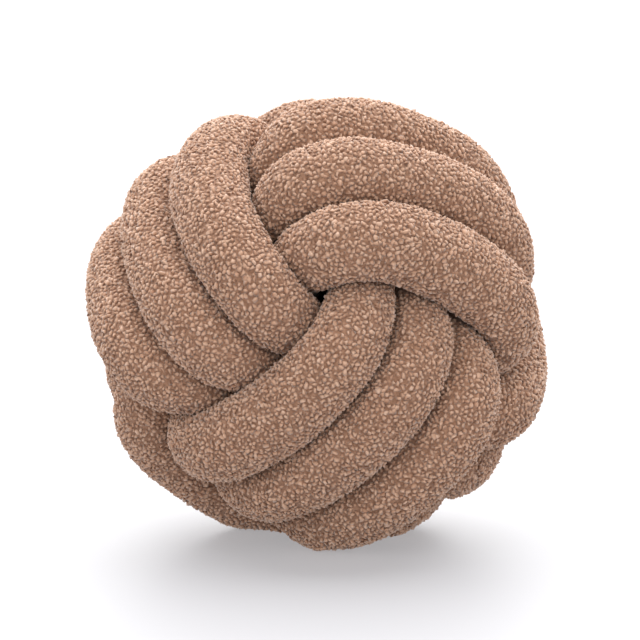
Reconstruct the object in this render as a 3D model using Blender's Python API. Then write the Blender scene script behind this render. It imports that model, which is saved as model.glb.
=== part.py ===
"""Knot cushion: one long stuffed cloth tube, tied into a ball as a monkey's fist of three bands.

Each band is three turns of the tube lying side by side. On the outside of the ball a band runs over
one face, then dives under the band of the next face. Both ends of the tube are tucked into the middle
of the ball. The tube's route is worked out in the knot's own axes, one through each pair of faces, and
the finished ball is turned to the way it rests. Metres, +Z up, the origin on the floor under the ball.
"""

import math

import bmesh
import bpy
import numpy as np
from mathutils import Euler

# The tube and the ball.
BALL_RADIUS = 0.1490  # over the crowns of the middle turns
TUBE_RADIUS = 0.0290  # where nothing presses on the tube
INNER_SWELL = 0.0050  # how much further it bulges inside, where it is squeezed from two sides
INNER_PITCH = 0.0340  # between the same turns where they cross inside, squeezed together
INNER_REACH = 0.0720  # from the middle of the ball to the middle turn's inner crossing
OUTER_TURN_DROP = 0.0040  # how much nearer the two side turns cross
BEND_POWER = 4.5  # squareness of a turn: 2 is an ellipse, more is a rounded box
END_CLOSING = 0.15  # share of their spread that the turns lose towards the ends of a face

# How closely two stretches of the tube lie, middle to middle, and from where on each holds.
OUTER_THICKNESS = 0.0490
INNER_THICKNESS = 0.0340
INNER_FROM, OUTER_FROM = 0.090, 0.122  # distance from the middle of the ball

# The solid.
SEAM_GAP = 0.0014  # left between two stretches that press on each other
OUTER_SPACING = 0.0250  # between the rings of the tube on the outside of the ball
INNER_SPACING = 0.0140  # between those inside
LINE_SPACING = 0.0040  # between the points that are tried for pressing on a ring
BEVEL_STEPS = 5  # gives a section of 14 sides
SIDES = 4 + 2 * BEVEL_STEPS
FLOOR_FLAT = 0.0078  # how far the weight of the ball presses its lowest turns flat
SIDE_LIMIT = 0.85  # share of a bend's radius that the tube may fill on the inside of the bend
END_ROUNDING = 0.35  # size of the closed ends against the full tube
SOFTNESS = 0.0030  # how softly the tube goes over from round to pressed
REST_TURN = Euler((math.radians(-39.4), math.radians(-27.8), math.radians(-156.4)), "XYZ")

# One row for each band, in the order in which they are tied. axes: which axis of the knot the band runs
# over, dives along and is stacked along. side: where the tube steps from one turn to the next. way: which
# way the tube runs past there. order: which side turn comes first. faces: how the band lies on the face at
# the plus end of its first axis, and on the opposite one.
# In a face's row, lean in degrees, bow and offset are how the band lies askew on it, curves over it and
# keeps to one side of it, pitch is from the middle turn to the one on the minus and on the plus side, and
# ends is how far out the turns bend down at the minus and the plus end of the axis they dive along.
BANDS = (
    {
        "axes": (0, 1, 2), "side": -1, "way": 1, "order": 1,
        "faces": (
            {"lean": 7.0, "bow": 0.0036, "offset": -0.0052,
             "pitch": (0.047, 0.0525), "ends": (0.078, 0.093)},
            {"lean": -1.5, "bow": 0.005, "offset": -0.005,
             "pitch": (0.049, 0.049), "ends": (0.072, 0.088)},
        ),
    },
    {
        "axes": (1, 2, 0), "side": 1, "way": 1, "order": -1,
        "faces": (
            {"lean": -10.2, "bow": 0.0081, "offset": -0.0057,
             "pitch": (0.0505, 0.051), "ends": (0.077, 0.082)},
            {"lean": -6.0, "bow": 0.0052, "offset": -0.0037,
             "pitch": (0.051, 0.051), "ends": (0.072, 0.068)},
        ),
    },
    {
        "axes": (2, 0, 1), "side": -1, "way": -1, "order": -1,
        "faces": (
            {"lean": 7.8, "bow": 0.0224, "offset": -0.0026,
             "pitch": (0.044, 0.0525), "ends": (0.080, 0.092)},
            {"lean": -3.3, "bow": 0.0157, "offset": 0.0037,
             "pitch": (0.050, 0.050), "ends": (0.072, 0.085)},
        ),
    },
)
FACE_SHARE = 0.6  # share of a turn's way over a face in which it takes up the face's lie
TURNS = 3
TURN_STEP = 4.0  # degrees between two points of a turn
BAND_END = 34.0  # degrees from the stepping side at which a band starts and ends
STEP_HALF = 38.0  # degrees on each side of it over which the tube steps across
DIVE_ENDS, FACE_STARTS = 12.0, 48.0  # degrees round a turn between its inner crossing and its face

# The tucked ends, in the knot's axes: the first leads to the first band, the last leads on from the last.
FIRST_END = (
    (0.024, -0.026, 0.018),
    (0.000, 0.006, -0.006),
    (-0.022, -0.005, -0.026),
    (-0.015, -0.035, -0.030),
)
LAST_END = (
    (-0.035, -0.035, -0.012),
    (-0.012, -0.016, -0.006),
    (0.003, 0.012, -0.008),
    (0.004, 0.040, -0.008),
)

# The settling of the route.
POINT_SPACING = 0.012
SETTLE_ROUNDS = 240
GROW_ROUNDS = 120  # the tube grows to its full thickness over this many rounds
GROW_FROM = 0.6
PAIRS_EVERY = 10  # rounds between two lists of which points may press on each other
PAIR_REACH = 1.4 * OUTER_THICKNESS  # points further apart than this are left out of that list
PUSHES = 3  # times in a round that pressing points are moved apart
PUSH = 0.4
STIFFNESS = 2.5
EVENING = 0.5  # share of an uneven spacing that a round takes out
HOLD = 0.5  # how strongly the stretches on the outside keep to their place
HOLD_FROM = 0.25  # how far outside a stretch must lie to be held at all, from 0 to 1
SAME_STRETCH = 0.078  # points nearer than this along the tube are not pushed apart
PRESS_FROM = 0.055  # points nearer than this along the tube do not flatten each other
PRESS_REACH = 2.6 * TUBE_RADIUS  # nor do points further apart than this
TINY = 1e-9  # keeps a division from being by zero

FABRIC_COLOUR = (0.46, 0.29, 0.19, 1.0)
FABRIC_ROUGHNESS = 0.95


def clear_scene():
    for obj in list(bpy.data.objects):
        bpy.data.objects.remove(obj)


def ease(x):
    """0 up to x = 0, 1 from x = 1 on, and smooth between."""
    x = np.clip(x, 0.0, 1.0)
    return x * x * (3.0 - 2.0 * x)


def turn_number(degrees):
    """The stack position of the tube, -1, 0 or 1, or between two where it steps across."""
    turn, around = divmod(degrees, 360.0)
    place = turn - 1.0
    if around < STEP_HALF and turn > 0:
        return place - 1.0 + ease(0.5 + 0.5 * around / STEP_HALF)
    if around > 360.0 - STEP_HALF and turn < TURNS - 1:
        return place + ease(0.5 * (around - 360.0 + STEP_HALF) / STEP_HALF)
    return place


def band_point(band, degrees):
    """A point of a band's middle line, and 1 if it is on the outside of the ball, 0 if it is inside."""
    stack = band["order"] * turn_number(degrees)
    angle = math.radians(degrees)
    over, along = abs(math.sin(angle)), abs(math.cos(angle))
    plus, minus = band["faces"]
    on_plus = ease(0.5 + 0.5 * band["way"] * math.sin(angle) / FACE_SHARE)
    lean, bow, offset = (
        minus[name] + (plus[name] - minus[name]) * on_plus for name in ("lean", "bow", "offset")
    )
    pitch, minus_pitch = (row["pitch"][int(stack > 0.0)] for row in (plus, minus))
    pitch = minus_pitch + (pitch - minus_pitch) * on_plus
    face = plus if band["way"] * math.sin(angle) > 0.0 else minus
    end = face["ends"][int(band["side"] * math.cos(angle) > 0.0)]
    # A turn is a rounded box, longer across the faces it runs over than where it dives.
    long_half = math.sqrt((BALL_RADIUS - TUBE_RADIUS) ** 2 - (stack * pitch) ** 2)
    short_half = INNER_REACH + (end - INNER_REACH) * ease(over / FACE_SHARE) - OUTER_TURN_DROP * abs(stack)
    box = (over / long_half) ** BEND_POWER + (along / short_half) ** BEND_POWER
    reach = box ** (-1.0 / BEND_POWER)
    outside = ease((math.degrees(math.atan2(over, along)) - DIVE_ENDS) / (FACE_STARTS - DIVE_ENDS))
    spread = INNER_PITCH + (pitch - INNER_PITCH) * outside
    across = stack * spread * (1.0 - END_CLOSING * along**2) + (bow * along**2 + offset) * outside
    out = band["way"] * reach * math.sin(angle)
    dive = band["side"] * reach * math.cos(angle)
    lean = math.radians(lean)
    point = np.zeros(3)
    point[band["axes"][0]] = out
    point[band["axes"][1]] = dive * math.cos(lean) - across * math.sin(lean)
    point[band["axes"][2]] = dive * math.sin(lean) + across * math.cos(lean)
    return point, outside


def tied_route():
    """The middle line of the whole tube as it is tied, and how far outside each point lies."""
    points, outside = [np.array(p) for p in FIRST_END], [0.0] * len(FIRST_END)
    for band in BANDS:
        for degrees in np.arange(BAND_END, 360.0 * TURNS - BAND_END + 0.01, TURN_STEP):
            point, share = band_point(band, degrees)
            points.append(point)
            outside.append(share)
    points += [np.array(p) for p in LAST_END]
    outside += [0.0] * len(LAST_END)
    return np.array(points), np.array(outside)


def along_line(points):
    """The distance of each point from the start of the line."""
    return np.concatenate([[0.0], np.cumsum(np.linalg.norm(np.diff(points, axis=0), axis=1))])


def evenly_spaced(points, spacing, *values):
    """The line's points at equal steps, and each list of values at the same places."""
    done = along_line(points)
    places = np.linspace(0.0, done[-1], int(round(done[-1] / spacing)) + 1)
    line = np.stack([np.interp(places, done, column) for column in points.T], 1)
    return line, *(np.interp(places, done, value) for value in values)


def stiffener(count):
    """The matrix that takes the kinks out of a line of this many points and leaves its wide bends."""
    bend = np.zeros((count, count))
    for i in range(1, count - 1):
        bend[i, i - 1 : i + 2] = (1.0, -2.0, 1.0)
    return np.linalg.inv(np.eye(count) + STIFFNESS * bend.T @ bend)


def pressing_pairs(points):
    """The pairs of points that may press on each other."""
    apart = np.linalg.norm(points[:, None] - points[None], axis=2)
    index = np.arange(len(points))
    far = index[:, None] - index[None] > SAME_STRETCH / POINT_SPACING
    return np.nonzero((apart < PAIR_REACH) & far)


def pushed_apart(points, first, second, thickness):
    """The points, moved apart in pairs where the tube is thicker than the space that they leave."""
    between = points[first] - points[second]
    apart = np.linalg.norm(between, axis=1) + TINY
    short = np.maximum(0.5 * (thickness[first] + thickness[second]) - apart, 0.0)
    push = between * (short / apart)[:, None]
    count = len(points)
    touches = np.bincount(first, short > 0, count) + np.bincount(second, short > 0, count)
    move = [np.bincount(first, p, count) - np.bincount(second, p, count) for p in push.T]
    return points + PUSH * np.stack(move, 1) / np.sqrt(np.maximum(touches, 1.0))[:, None]


def settled_route():
    """The tied line, eased until its stretches lie beside and over each other at the tube's thickness."""
    tied, shares = tied_route()
    points, outside = evenly_spaced(tied, POINT_SPACING, shares)
    home = points.copy()
    hold = (HOLD * ease((outside - HOLD_FROM) / (1.0 - HOLD_FROM)))[:, None]
    stiffen = stiffener(len(points))
    for step in range(SETTLE_ROUNDS):
        if step % PAIRS_EVERY == 0:
            first, second = pressing_pairs(points)
        points = points * (1.0 - hold) + home * hold
        grown = GROW_FROM + (1.0 - GROW_FROM) * min(1.0, step / GROW_ROUNDS)
        share = ease((np.linalg.norm(points, axis=1) - INNER_FROM) / (OUTER_FROM - INNER_FROM))
        thickness = grown * (INNER_THICKNESS + (OUTER_THICKNESS - INNER_THICKNESS) * share)
        for _ in range(PUSHES):
            points = pushed_apart(points, first, second, thickness)
        points = stiffen @ points
        tangent = np.zeros_like(points)
        tangent[1:-1] = points[2:] - points[:-2]
        tangent[1:-1] /= np.linalg.norm(tangent[1:-1], axis=1)[:, None]
        slack = np.zeros_like(points)
        slack[1:-1] = (points[:-2] + points[2:]) / 2.0 - points[1:-1]
        points = points + EVENING * tangent * (slack * tangent).sum(1)[:, None]
    return points


def curvature(points):
    """For each point the vector to the inside of its bend, as long as one over the bend's radius."""
    steps = np.diff(points, axis=0)
    lengths = np.linalg.norm(steps, axis=1)[:, None]
    turns = np.zeros_like(points)
    turns[1:-1] = np.diff(steps / lengths, axis=0) * 2.0 / (lengths[1:] + lengths[:-1])
    return turns


def ring_centres(line):
    """Points of the line for the rings, closer together inside, where the tube bends and crosses."""
    depth = np.linalg.norm(line, axis=1)
    outside = ease((depth - INNER_FROM) / (OUTER_FROM - INNER_FROM))
    spacing = INNER_SPACING + (OUTER_SPACING - INNER_SPACING) * outside
    steps = np.linalg.norm(np.diff(line, axis=0), axis=1)
    rings_done = np.concatenate([[0.0], np.cumsum(steps * 2.0 / (spacing[1:] + spacing[:-1]))])
    places = np.linspace(0.0, rings_done[-1], int(round(rings_done[-1])) + 1)
    return np.stack([np.interp(places, rings_done, column) for column in line.T], 1)


def round_tube(name, centres):
    """The tube with a round section everywhere and open ends, its rings of vertices one after another."""
    curve = bpy.data.curves.new(name, "CURVE")
    curve.dimensions = "3D"
    curve.bevel_depth = TUBE_RADIUS
    curve.bevel_resolution = BEVEL_STEPS
    spline = curve.splines.new("POLY")
    spline.points.add(len(centres) - 1)
    for point, centre in zip(spline.points, centres):
        point.co = (*centre, 1.0)
    guide = bpy.data.objects.new(name + "_guide", curve)
    bpy.context.scene.collection.objects.link(guide)
    graph = bpy.context.evaluated_depsgraph_get()
    mesh = bpy.data.meshes.new_from_object(guide.evaluated_get(graph))
    bpy.data.objects.remove(guide)
    mesh.name = name
    return mesh


def skin_reach(centre, rays, others, bend, free):
    """How far from its middle the tube's skin lies along each ray, pressed by the stretches around it."""
    offsets = others - centre
    squares = (offsets**2).sum(1)
    facing = np.maximum(rays @ offsets.T, TINY)
    # Two stretches of equal stuffing meet halfway, at the plane between their middles.
    halfway = (squares - SEAM_GAP * np.sqrt(squares)) / (2.0 * facing)
    limit = halfway.min(1) if len(others) else np.full(len(rays), np.inf)
    limit = np.minimum(limit, SIDE_LIMIT / np.maximum(rays @ bend, TINY))
    # The lesser of the two, rounded off where they are nearly the same.
    share = np.clip(0.5 + 0.5 * (free - limit) / SOFTNESS, 0.0, 1.0)
    reach = free + (np.minimum(limit, 1.0) - free) * share
    return reach - SOFTNESS * share * (1.0 - share)


def pressed_rings(mesh, centres, line):
    """The tube's rings of vertices, flattened wherever two of its stretches share the room."""
    rings = np.array([vertex.co[:] for vertex in mesh.vertices]).reshape(len(centres), SIDES, 3)
    bends = curvature(centres)
    ring_places, line_places = along_line(centres), along_line(line)
    for i, centre in enumerate(centres):
        rays = rings[i] - centre
        rays /= np.linalg.norm(rays, axis=1)[:, None]
        to_end = min(ring_places[i], ring_places[-1] - ring_places[i], TUBE_RADIUS) / TUBE_RADIUS
        depth = (np.linalg.norm(centre) - INNER_FROM) / (OUTER_FROM - INNER_FROM)
        free = TUBE_RADIUS + INNER_SWELL * (1.0 - ease(depth))
        free *= max(END_ROUNDING, math.sqrt(1.0 - (1.0 - to_end) ** 2))
        near = np.linalg.norm(line - centre, axis=1) < PRESS_REACH
        apart = np.abs(line_places - ring_places[i]) > PRESS_FROM
        reach = skin_reach(centre, rays, line[near & apart], bends[i], free)
        rings[i] = centre + rays * reach[:, None]
    return rings


def set_down(work):
    """Turns the ball to the way it rests, presses it flat underneath and puts the origin below it."""
    bmesh.ops.transform(work, matrix=REST_TURN.to_matrix().to_4x4(), verts=work.verts)
    floor = min(vertex.co.z for vertex in work.verts) + FLOOR_FLAT
    whole = work.verts[:] + work.edges[:] + work.faces[:]
    bmesh.ops.bisect_plane(work, geom=whole, plane_co=(0.0, 0.0, floor), plane_no=(0.0, 0.0, 1.0))
    for vertex in work.verts:
        vertex.co.z = max(vertex.co.z, floor)
    across = [(min(spots) + max(spots)) / 2.0 for spots in zip(*(vertex.co.xy for vertex in work.verts))]
    bmesh.ops.translate(work, vec=(-across[0], -across[1], -floor), verts=work.verts)


def cloth():
    material = bpy.data.materials.new("curly_cloth")
    material.use_nodes = True
    shader = material.node_tree.nodes["Principled BSDF"]
    shader.inputs["Base Color"].default_value = FABRIC_COLOUR
    shader.inputs["Roughness"].default_value = FABRIC_ROUGHNESS
    shader.inputs["Metallic"].default_value = 0.0
    return material


def knotted_tube():
    """The whole tube as one closed mesh object."""
    (line,) = evenly_spaced(settled_route(), LINE_SPACING)
    centres = ring_centres(line)
    mesh = round_tube("knotted_tube", centres)
    points = pressed_rings(mesh, centres, line).reshape(-1, 3)
    work = bmesh.new()
    work.from_mesh(mesh)
    for vertex, point in zip(work.verts, points):
        vertex.co = point
    open_edges = [edge for edge in work.edges if edge.is_boundary]
    bmesh.ops.holes_fill(work, edges=open_edges, sides=SIDES)
    bmesh.ops.recalc_face_normals(work, faces=work.faces)
    set_down(work)
    work.to_mesh(mesh)
    work.free()
    mesh.shade_smooth()
    mesh.materials.append(cloth())
    return bpy.data.objects.new("knotted_tube", mesh)


def main():
    clear_scene()
    cushion = bpy.data.collections.new("knot_cushion")
    bpy.context.scene.collection.children.link(cushion)
    cushion.objects.link(knotted_tube())


if __name__ == "__main__":
    main()
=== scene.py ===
"""The looks of the knot cushion: a stuffed tube of curly teddy cloth tied into a ball."""

import math

import bmesh
import bpy
import numpy as np
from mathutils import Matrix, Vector
from mathutils.bvhtree import BVHTree
from mathutils.noise import noise


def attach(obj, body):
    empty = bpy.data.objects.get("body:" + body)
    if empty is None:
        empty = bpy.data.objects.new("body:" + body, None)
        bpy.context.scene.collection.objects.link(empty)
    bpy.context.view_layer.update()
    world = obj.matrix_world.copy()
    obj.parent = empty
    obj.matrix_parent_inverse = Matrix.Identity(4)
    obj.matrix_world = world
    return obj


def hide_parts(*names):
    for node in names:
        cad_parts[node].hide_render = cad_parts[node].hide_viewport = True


MM = 0.001

# The ball and its cloth.
BALL_MIDDLE = Vector((0.0030, 0.0011, 0.1455))
CLOTH_INSET = 1.0 * MM  # the cloth's ground lies this far inside the solid, to leave room for its curls
STUFFING_DENT = 1.2 * MM  # how uneven the stuffing leaves the tube
STUFFING_LUMP = 45 * MM  # from one lump of stuffing to the next
EVEN_HEIGHT = 4 * MM  # below this height the tube gets more and more even, down to the flat it stands on
TUBE_SUBDIVISIONS = 2
WELD = 0.01 * MM  # points closer than this become one

# Where the cloth shows.
DEEP_INSIDE = 110 * MM  # cloth nearer to the ball's middle than this isn't covered with curls
RAY_LIFT = 0.5 * MM  # a ray starts this far off the cloth
RAY_SHARES = (0.0, 0.5, 1.0)  # how much each ray follows the cloth's normal, instead of straight outwards
OPEN_REACH = 200 * MM  # a spot shows if one of its rays meets no cloth within this reach

# The curls.
CURL_APART = 2.54 * MM  # the least distance between two of them
CURL_TRIES = 12  # places tried for each square with sides of CURL_APART
CURL_LENGTH = 3.8 * MM
CURL_THICKNESS = 2.9 * MM
CURL_STANDS = 1.8 * MM  # how far a curl stands out of the cloth's ground
# How far the ends of each shape of curl bend down, and how uneven it is.
CURL_SHAPES = ((0.2, 0.09), (0.35, 0.12), (0.1, 0.11), (0.25, 0.10), (0.3, 0.13), (0.15, 0.12))
CURL_LEAN = 0.38  # how far the curls stray from the cloth's normal
SIZE_SPREAD, SIZE_LIMITS = 0.22, (0.6, 1.6)
TINT_MIDDLE, TINT_SPREAD = 0.5, 0.2
# The curls' colour goes from painted shade at the root to a painted highlight at the tip, over these
# heights.
ROOT_HEIGHT, HEIGHT_SPAN = 0.2 * MM, 1.6 * MM  # the colour changes from this height, over this much of it
RAMP_LIMITS = (0.02, 0.98)  # tint and height stay within a colour ramp's ends
CURL_PIECES = 6  # the curls are joined into this many pieces, in the order of the tube's faces
SEED = 11

# The grain of the yarn.
GROUND_GRAIN = 2.6 * MM
FIBRE_GRAIN = 1.1 * MM
MIX_A, MIX_B, MIX_RESULT = 6, 7, 2  # a Mix node's sockets for colours

# The studio.
CAMERA_RAISED = 9  # degrees
CAMERA_AWAY = 3.0
CAMERA_AIM = Vector((-0.0007, 0, -0.0031))  # from the ball's middle
CAMERA_SENSOR, CAMERA_LENS = 36, 256.5  # mm
SURROUND_STRENGTH = 0.80
SUNS = (  # name, strength, spread and turn in degrees
    ("top_light", 6.0, 90, (-35, -2, 0)),
    ("front_light", 1.9, 90, (76, 4, 0)),
)
FLOOR_HALF = 20  # from its middle to its edge


def from_hex(text):
    """The linear colour of an sRGB hex value."""
    parts = [int(text[i : i + 2], 16) / 255 for i in (0, 2, 4)]
    return [p / 12.92 if p <= 0.04045 else ((p + 0.055) / 1.055) ** 2.4 for p in parts] + [1.0]


def new_material(name):
    material = bpy.data.materials.new(name)
    material.use_nodes = True
    material.node_tree.nodes.clear()
    return material, material.node_tree


def add_node(tree, kind, settings=None, links=None):
    """Adds a node, makes its settings, which are attributes or inputs, and links its inputs to outputs."""
    node = tree.nodes.new(kind)
    for name, value in (settings or {}).items():
        if hasattr(node, name):
            setattr(node, name, value)
        else:
            node.inputs[name].default_value = value
    for name, output in (links or {}).items():
        tree.links.new(output, node.inputs[name])
    return node


def add_ramp(tree, factor, stops):
    """The colour that a ramp gives to this output; its stops are (place, hex) pairs."""
    node = add_node(tree, "ShaderNodeValToRGB", links={"Fac": factor})
    elements = node.color_ramp.elements
    while len(elements) > 1:
        elements.remove(elements[-1])
    elements[0].position, elements[0].color = stops[0][0], from_hex(stops[0][1])
    for place, colour in stops[1:]:
        elements.new(place).color = from_hex(colour)
    return node.outputs["Color"]


def add_grain(tree, grain, settings):
    """Noise with grains of this size, which stays put on the object."""
    place = add_node(tree, "ShaderNodeTexCoord")
    node = add_node(tree, "ShaderNodeTexNoise", {"Scale": 1 / grain, **settings},
                    {"Vector": place.outputs["Object"]})
    return node.outputs["Fac"]


def add_surface(tree, settings, colour=None, height=None, bump=None):
    """The material's shader; its colour and the height of its bumps can come from other nodes' outputs."""
    links = {}
    if colour:
        links["Base Color"] = colour
    if height:
        links["Normal"] = add_node(tree, "ShaderNodeBump", bump, {"Height": height}).outputs["Normal"]
    shader = add_node(tree, "ShaderNodeBsdfPrincipled", settings, links)
    add_node(tree, "ShaderNodeOutputMaterial", links={"Surface": shader.outputs["BSDF"]})


def ground_cloth_material():
    """The knitted ground of the teddy cloth: brushed polyester yarn, coloured darker than the curls as
    painted shade in the gaps between them.
    """
    material, tree = new_material("teddy_cloth_ground")
    yarn = add_grain(tree, GROUND_GRAIN, {"Detail": 4.0, "Roughness": 0.65})
    # the grain is the yarn's own; its tones are kept darker than the curls' as painted shade between the
    # curls
    colour = add_ramp(tree, yarn, [(0.30, "75523d"), (0.52, "8f6a53"), (0.70, "a98269")])
    add_surface(tree, {"Roughness": 0.95, "Sheen Weight": 0.25, "Sheen Roughness": 0.5, "IOR": 1.45},
                colour, yarn, {"Strength": 0.8, "Distance": 1.0 * MM})
    return material


def curl_material():
    """The curls of the same yarn: matt, with painted shade at the root and a painted highlight at the tips,
    where they catch the light.
    """
    material, tree = new_material("teddy_cloth_curls")
    spot = add_node(tree, "ShaderNodeUVMap", {"uv_map": "OFBake"})
    parts = add_node(tree, "ShaderNodeSeparateXYZ", links={"Vector": spot.outputs["UV"]})
    # painted shade and highlight: the colour darkens towards each curl's root and pales towards its tip
    height = add_ramp(tree, parts.outputs["Y"],
                      [(0.0, "785641"), (0.2, "9b7861"), (0.45, "b9957d"), (1.0, "d4b49e")])
    tint = add_ramp(tree, parts.outputs["X"], [(0.0, "decdc1"), (0.5, "f1e8e1"), (1.0, "ffffff")])
    colour = add_node(tree, "ShaderNodeMix", {"data_type": "RGBA", "blend_type": "MULTIPLY", "Factor": 1.0},
                      {MIX_A: height, MIX_B: tint})
    fibres = add_grain(tree, FIBRE_GRAIN, {"Detail": 3.0})
    add_surface(tree, {"Roughness": 0.9, "Sheen Weight": 0.6, "Sheen Roughness": 0.45,
                       "Sheen Tint": from_hex("fbf0e8"), "IOR": 1.45},
                colour.outputs[MIX_RESULT], fibres, {"Strength": 0.7, "Distance": 0.5 * MM})
    return material


def linked(obj):
    bpy.context.scene.collection.objects.link(obj)
    return obj


def stuffed_tube(node, material):
    """The cloth's ground over the whole tube, smooth and a little uneven from its stuffing."""
    work = bmesh.new()
    work.from_mesh(node.data)
    bmesh.ops.remove_doubles(work, verts=work.verts, dist=WELD)
    bmesh.ops.join_triangles(work, faces=work.faces, angle_face_threshold=math.radians(60),
                             angle_shape_threshold=math.radians(70))
    mesh = bpy.data.meshes.new("tube_cloth")
    work.to_mesh(mesh)
    work.free()
    guide = linked(bpy.data.objects.new("tube_guide", mesh))
    smooth = guide.modifiers.new("smooth", "SUBSURF")
    smooth.levels = smooth.render_levels = TUBE_SUBDIVISIONS
    graph = bpy.context.evaluated_depsgraph_get()
    mesh = bpy.data.meshes.new_from_object(guide.evaluated_get(graph))
    bpy.data.objects.remove(guide)
    work = bmesh.new()
    work.from_mesh(mesh)
    for vertex in work.verts:
        dent = STUFFING_DENT * noise(vertex.co / STUFFING_LUMP)
        lift = min(1.0, vertex.co.z / EVEN_HEIGHT)
        vertex.co += vertex.normal * (dent * lift - CLOTH_INSET)
        vertex.co.z = max(vertex.co.z, 0.0)
    work.to_mesh(mesh)
    work.free()
    mesh.shade_smooth()
    mesh.materials.clear()
    mesh.materials.append(material)
    mesh.name = "tube_cloth"
    return linked(bpy.data.objects.new("tube_cloth", mesh))


def arrays_of(mesh):
    """Vertex places, vertex normals and triangles of a mesh."""
    mesh.calc_loop_triangles()
    spots = np.empty(len(mesh.vertices) * 3, np.float32)
    mesh.vertices.foreach_get("co", spots)
    normals = np.empty(len(mesh.vertices) * 3, np.float32)
    mesh.vertices.foreach_get("normal", normals)
    triangles = np.empty(len(mesh.loop_triangles) * 3, np.int32)
    mesh.loop_triangles.foreach_get("vertices", triangles)
    return spots.reshape(-1, 3), normals.reshape(-1, 3), triangles.reshape(-1, 3)


def unit(vectors):
    return vectors / np.linalg.norm(vectors, axis=1)[:, None]


def showing(spots, normals, tree):
    """For each spot, whether it shows: it isn't deep inside, and a ray from it gets clear of the tube."""
    seen = np.zeros(len(spots), bool)
    middle = np.array(BALL_MIDDLE)
    for i, (spot, normal) in enumerate(zip(spots, normals)):
        out = spot - middle
        depth = np.linalg.norm(out)
        if depth < DEEP_INSIDE:
            continue
        out /= depth
        start = Vector(spot + normal * RAY_LIFT)
        rays = (Vector(normal * share + out * (1.0 - share)) for share in RAY_SHARES)
        seen[i] = any(tree.ray_cast(start, ray, OPEN_REACH)[0] is None for ray in rays)
    return seen


def far_enough(places, apart):
    """Goes through the places in order and keeps each one that isn't this near to one kept before."""
    steps = [(x, y, z) for x in (-1, 0, 1) for y in (-1, 0, 1) for z in (-1, 0, 1)]
    cells = np.floor(places / apart).astype(int).tolist()
    places = places.tolist()
    least = apart**2
    kept, taken = [], {}
    for i, ((kx, ky, kz), (x, y, z)) in enumerate(zip(cells, places)):
        near = (places[j] for dx, dy, dz in steps for j in taken.get((kx + dx, ky + dy, kz + dz), ()))
        if any((px - x) ** 2 + (py - y) ** 2 + (pz - z) ** 2 < least for px, py, pz in near):
            continue
        taken.setdefault((kx, ky, kz), []).append(i)
        kept.append(i)
    return kept


def spread_spots(spots, normals, triangles, rng):
    """Spots at least CURL_APART from each other, all over these triangles, with normals and triangles."""
    corners = spots[triangles]
    sides = corners[:, 1] - corners[:, 0], corners[:, 2] - corners[:, 0]
    areas = 0.5 * np.linalg.norm(np.cross(*sides), axis=1)
    tries = int(areas.sum() / CURL_APART**2 * CURL_TRIES)
    picked = rng.choice(len(triangles), tries, p=areas / areas.sum())
    a, b = rng.random((2, tries, 1))
    over = a + b > 1
    a, b = np.where(over, 1 - a, a), np.where(over, 1 - b, b)

    def mixed(values):
        return values[picked, 0] * (1 - a - b) + values[picked, 1] * a + values[picked, 2] * b

    places = mixed(corners)
    facing = unit(mixed(normals[triangles]))
    kept = far_enough(places, CURL_APART)
    return places[kept], facing[kept], picked[kept]


def curl_shape(bend, jitter, rng):
    """One curl: a short plump hank of yarn, about 1 long, wide and high, with both ends bent down."""
    work = bmesh.new()
    bmesh.ops.create_icosphere(work, subdivisions=1, radius=0.5)
    for vertex in work.verts:
        vertex.co += Vector(rng.normal(0, jitter, 3))
        vertex.co.z -= bend * (2 * vertex.co.x) ** 2
    bmesh.ops.recalc_face_normals(work, faces=work.faces)
    work.verts.index_update()
    spots = np.array([v.co[:] for v in work.verts])
    triangles = np.array([[v.index for v in f.verts] for f in work.faces])
    work.free()
    return spots, triangles


def sown_curls(name, places, facing, shapes, material, rng):
    """One mesh of a curl at each place, turned and sized at random."""
    count = len(places)
    kinds = rng.integers(len(shapes), size=count)
    rng.random(count)  # not used: it keeps the draws below, and so the shape of every curl, as they are
    lean = unit(facing + rng.normal(0, CURL_LEAN, (count, 3)))
    side = unit(np.cross(lean, rng.normal(0, 1, (count, 3))))
    other = np.cross(lean, side)
    size = np.clip(rng.normal(1, SIZE_SPREAD, (count, 3)), *SIZE_LIMITS)
    size = size * (CURL_LENGTH, CURL_THICKNESS, CURL_THICKNESS)
    tint = np.clip(rng.normal(TINT_MIDDLE, TINT_SPREAD, count), *RAMP_LIMITS)
    all_spots, all_triangles, heights, tints = [], [], [], []
    start = 0
    for kind, (spots, triangles) in enumerate(shapes):
        chosen = np.nonzero(kinds == kind)[0]
        local = spots[None] * size[chosen, None]
        raised = local[..., 2] + CURL_STANDS - CURL_THICKNESS / 2
        world = places[chosen, None] + local[..., :1] * side[chosen, None]
        world = world + local[..., 1:2] * other[chosen, None] + raised[..., None] * lean[chosen, None]
        all_spots.append(world.reshape(-1, 3))
        offsets = start + np.arange(len(chosen)) * len(spots)
        all_triangles.append((triangles[None] + offsets[:, None, None]).reshape(-1, 3))
        # the height that picks the painted shade at the root and the painted highlight at the tip
        heights.append(np.clip((raised - ROOT_HEIGHT) / HEIGHT_SPAN, *RAMP_LIMITS).reshape(-1))
        tints.append(np.repeat(tint[chosen], len(spots)))
        start += len(chosen) * len(spots)
    spots, triangles = np.concatenate(all_spots), np.concatenate(all_triangles)
    spots[:, 2] = np.maximum(spots[:, 2], 0.0)
    mesh = bpy.data.meshes.new(name)
    mesh.from_pydata(spots.tolist(), [], triangles.tolist())
    layer = mesh.uv_layers.new(name="OFBake")
    colours = np.stack([np.concatenate(tints), np.concatenate(heights)], 1)[triangles.reshape(-1)]
    layer.data.foreach_set("uv", colours.astype(np.float32).reshape(-1))
    mesh.shade_smooth()
    mesh.materials.append(material)
    return linked(bpy.data.objects.new(name, mesh))


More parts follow.
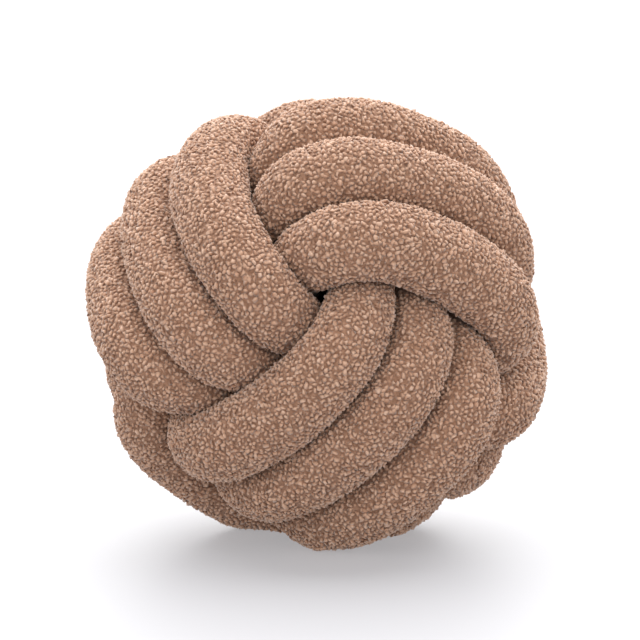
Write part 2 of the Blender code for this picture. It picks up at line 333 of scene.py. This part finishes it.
def place_camera():
    """Looks at the ball's front from a little above, from so far off that near turns hardly look larger."""
    camera = bpy.data.objects.new("camera", bpy.data.cameras.new("camera"))
    linked(camera)
    raised = math.radians(CAMERA_RAISED)
    back = Vector((0, -math.cos(raised), math.sin(raised)))
    camera.location = BALL_MIDDLE + CAMERA_AIM + back * CAMERA_AWAY
    camera.rotation_euler = back.to_track_quat("Z", "Y").to_euler()
    camera.data.sensor_width = CAMERA_SENSOR
    camera.data.lens = CAMERA_LENS
    bpy.context.scene.camera = camera


def light_studio():
    """A white surround, a large soft light from above and behind, and a weaker one from low in front."""
    world = bpy.data.worlds.new("studio")
    bpy.context.scene.world = world
    world.use_nodes = True
    background = world.node_tree.nodes["Background"]
    background.inputs["Color"].default_value = (1, 1, 1, 1)
    background.inputs["Strength"].default_value = SURROUND_STRENGTH
    for name, strength, spread, turn in SUNS:
        lamp = bpy.data.lights.new(name, "SUN")
        lamp.energy = strength
        lamp.angle = math.radians(spread)
        sun = linked(bpy.data.objects.new(name, lamp))
        sun.rotation_euler = [math.radians(t) for t in turn]


def lay_floor():
    """A board that glows a little, so that shadows on it stay as pale as in a white room."""
    work = bmesh.new()
    bmesh.ops.create_grid(work, x_segments=1, y_segments=1, size=FLOOR_HALF)
    mesh = bpy.data.meshes.new("floor")
    work.to_mesh(mesh)
    work.free()
    material, tree = new_material("white_board")
    add_surface(tree, {"Base Color": from_hex("848487"), "Roughness": 0.6,
                       "Emission Color": from_hex("fdfcff"), "Emission Strength": 0.34})
    mesh.materials.append(material)
    linked(bpy.data.objects.new("floor", mesh))


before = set(bpy.data.objects)
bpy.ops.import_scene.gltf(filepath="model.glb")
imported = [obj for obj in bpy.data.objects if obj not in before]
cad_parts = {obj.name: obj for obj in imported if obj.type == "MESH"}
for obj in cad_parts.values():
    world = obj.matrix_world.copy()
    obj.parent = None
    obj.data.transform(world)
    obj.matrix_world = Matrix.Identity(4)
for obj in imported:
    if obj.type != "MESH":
        bpy.data.objects.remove(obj)
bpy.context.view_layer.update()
bpy.context.scene.view_settings.view_transform = "Standard"

rng = np.random.default_rng(SEED)
tube = stuffed_tube(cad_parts["knotted_tube"], ground_cloth_material())
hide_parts("knotted_tube")
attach(tube, "root")

spots, normals, triangles = arrays_of(tube.data)
surface = BVHTree.FromPolygons(spots.tolist(), triangles.tolist())
seen = showing(spots, normals, surface)
outside = triangles[seen[triangles].any(1)]
places, facing, where = spread_spots(spots, normals, outside, rng)
shapes = [curl_shape(bend, jitter, rng) for bend, jitter in CURL_SHAPES]
curls = curl_material()
order = np.argsort(where, kind="stable")

for number, part in enumerate(np.array_split(order, CURL_PIECES), 1):
    piece = sown_curls(f"curls_{number}", places[part], facing[part], shapes, curls, rng)
    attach(piece, "root")

lay_floor()
light_studio()
place_camera()
